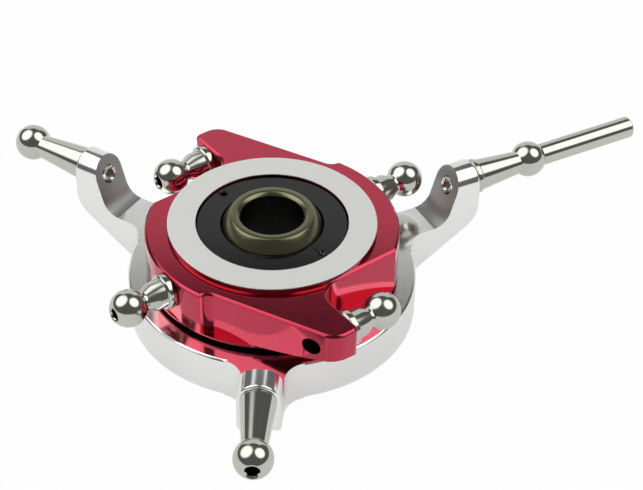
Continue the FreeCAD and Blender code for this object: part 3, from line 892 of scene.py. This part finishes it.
class SWASHPLATE_OT_stage(bpy.types.Operator):
    """Set the white floor, the light tent and the camera"""
    bl_idname = "swashplate.stage"
    bl_label = "Stage"

    def tent(self, context):
        stage = context.scene.swashplate_stage
        world = bpy.data.worlds.new("light tent")
        context.scene.world = world
        world.use_nodes = True
        world.node_tree.nodes.clear()
        bench = Bench(world.node_tree)
        way = bench.add("ShaderNodeTexCoord", output="Generated")

        def facing(direction):
            return bench.add("ShaderNodeVectorMath", {"operation": "DOT_PRODUCT"},
                             {0: way, 1: direction}, output="Value")

        def between(value, low, high, before, after):
            """Soft step from one value to another."""
            return bench.add("ShaderNodeMapRange", {"interpolation_type": "SMOOTHSTEP"},
                             {"Value": value, "From Min": low, "From Max": high,
                              "To Min": before, "To Max": after})

        # The white walls end near the floor, and behind the object they stand much higher
        aside = facing(heading(0, 0, stage.turn))
        behind = (between(aside.highest(aside * -1.0), 0.35, 0.65, 1.0, 0.0)
                  * between(facing(heading(90, 0, stage.turn)), -0.05, 0.1, 0.0, 1.0))
        wall_top, rise_behind = (0.048, 0.062), 0.585
        walls = between(facing((0, 0, 1)) - behind * rise_behind, *wall_top, stage.tent,
                        stage.ceiling)
        # Two round lamps: degrees from the camera's right, outer edge and full light
        lamp_height = 54
        lamps = [between(facing(heading(side, lamp_height, stage.turn)),
                         math.cos(math.radians(outer)), math.cos(math.radians(inner)),
                         0.0, stage.lamp)
                 for side, outer, inner in ((-5, 31, 21), (174, 38, 24))]
        light = walls + lamps[0].highest(lamps[1])
        lit = bench.add("ShaderNodeBackground", {}, {"Color": (1, 1, 0.985, 1),
                                                     "Strength": light})
        white = bench.add("ShaderNodeBackground", {}, {"Color": (1, 1, 1, 1), "Strength": 1.0})
        seen = bench.add("ShaderNodeLightPath", output="Is Camera Ray")
        both = bench.add("ShaderNodeMixShader", {}, {0: seen, 1: lit, 2: white})
        bench.node("ShaderNodeOutputWorld", {}, {"Surface": both})

    def floor(self):
        """White paper that keeps a faint shadow and shows half as bright in the metal."""
        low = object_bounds()[0][2]
        paper = primitive(bpy.ops.mesh.primitive_plane_add, size=3.0, location=(0, 0, low))
        floor = name_piece(paper, "floor")
        material, bench = finish("white floor", Base_Color=(0.9, 0.9, 0.9, 1), Roughness=0.9,
                                 Specular_IOR_Level=0.1)
        matt = Wire(bench, bench.shader.outputs[0])
        glow = bench.add("ShaderNodeEmission", {}, {"Color": (1, 1, 1, 1), "Strength": 1.0})
        seen = bench.add("ShaderNodeLightPath", output="Is Camera Ray")
        mirrored = bench.add("ShaderNodeLightPath", output="Is Glossy Ray")
        glow_seen, glow_mirrored = 0.97, 0.45
        mask = (seen * glow_seen).highest(mirrored * glow_mirrored)
        both = bench.add("ShaderNodeMixShader", {}, {0: mask, 1: matt, 2: glow})
        bench.fill(bench.tree.nodes["Material Output"], {"Surface": both})
        floor.data.materials.append(material)
        floor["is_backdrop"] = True

    def camera(self, context):
        stage = context.scene.swashplate_stage
        back = Vector((0, -math.cos(stage.height), math.sin(stage.height)))
        right = Vector((1, 0, 0))
        up = back.cross(right)
        cosine, sine = math.cos(stage.roll), math.sin(stage.roll)
        right, up = right * cosine + up * sine, up * cosine - right * sine
        turn = Matrix.Rotation(stage.turn, 3, "Z")
        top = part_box("face_ring")[1][2]
        aim_right, aim_down = 6.230, 3.084      # from the middle of the face ring
        place = turn @ (back * stage.distance + right * aim_right * MM - up * aim_down * MM)
        axes = Matrix([turn @ axis for axis in (right, up, back)]).transposed().to_4x4()
        bpy.ops.object.camera_add()
        camera = bpy.context.object
        camera.name = "camera"
        camera.data.lens = stage.lens
        camera.data.sensor_width = 36.0
        camera.data.clip_start = 0.01
        camera.matrix_world = Matrix.Translation(place + Vector((0, 0, top))) @ axes
        context.scene.camera = camera

    def execute(self, context):
        self.floor()
        self.tent(context)
        self.camera(context)
        context.scene.view_settings.view_transform = "Standard"
        return {"FINISHED"}


# ---- add-on ---------------------------------------------------------------------------------
steps = (SWASHPLATE_OT_still_ring, SWASHPLATE_OT_servo_studs, SWASHPLATE_OT_guide_pin,
         SWASHPLATE_OT_turning_ring, SWASHPLATE_OT_ring_studs, SWASHPLATE_OT_face_ring,
         SWASHPLATE_OT_retainer, SWASHPLATE_OT_mast_ball, SWASHPLATE_OT_hidden_pieces,
         SWASHPLATE_OT_stage)


class SWASHPLATE_PT_panel(bpy.types.Panel):
    """List the swashplate's values and steps"""
    bl_idname = "SWASHPLATE_PT_panel"
    bl_label = "Swashplate"
    bl_space_type = "VIEW_3D"
    bl_region_type = "UI"
    bl_category = "Swashplate"

    def draw(self, context):
        layout = self.layout
        for group in (context.scene.swashplate_sizes, context.scene.swashplate_finishes,
                      context.scene.swashplate_stage):
            column = layout.box().column()
            for name in group.__annotations__:
                column.prop(group, name)
        for step in steps:
            layout.operator(step.bl_idname)


groups = (("swashplate_sizes", SwashplateSizes), ("swashplate_finishes", SwashplateFinishes),
          ("swashplate_stage", SwashplateStage))


def register():
    for name, group in groups:
        bpy.utils.register_class(group)
        setattr(bpy.types.Scene, name, bpy.props.PointerProperty(type=group))
    for step in steps:
        bpy.utils.register_class(step)
    bpy.utils.register_class(SWASHPLATE_PT_panel)


def unregister():
    bpy.utils.unregister_class(SWASHPLATE_PT_panel)
    for step in reversed(steps):
        bpy.utils.unregister_class(step)
    for name, group in reversed(groups):
        delattr(bpy.types.Scene, name)
        bpy.utils.unregister_class(group)


def main():
    register()
    bpy.ops.swashplate.still_ring()
    bpy.ops.swashplate.servo_studs()
    bpy.ops.swashplate.guide_pin()
    bpy.ops.swashplate.turning_ring()
    bpy.ops.swashplate.ring_studs()
    bpy.ops.swashplate.face_ring()
    bpy.ops.swashplate.retainer()
    bpy.ops.swashplate.mast_ball()
    bpy.ops.swashplate.hidden_pieces()
    bpy.ops.swashplate.stage()


if __name__ == "__main__":
    main()
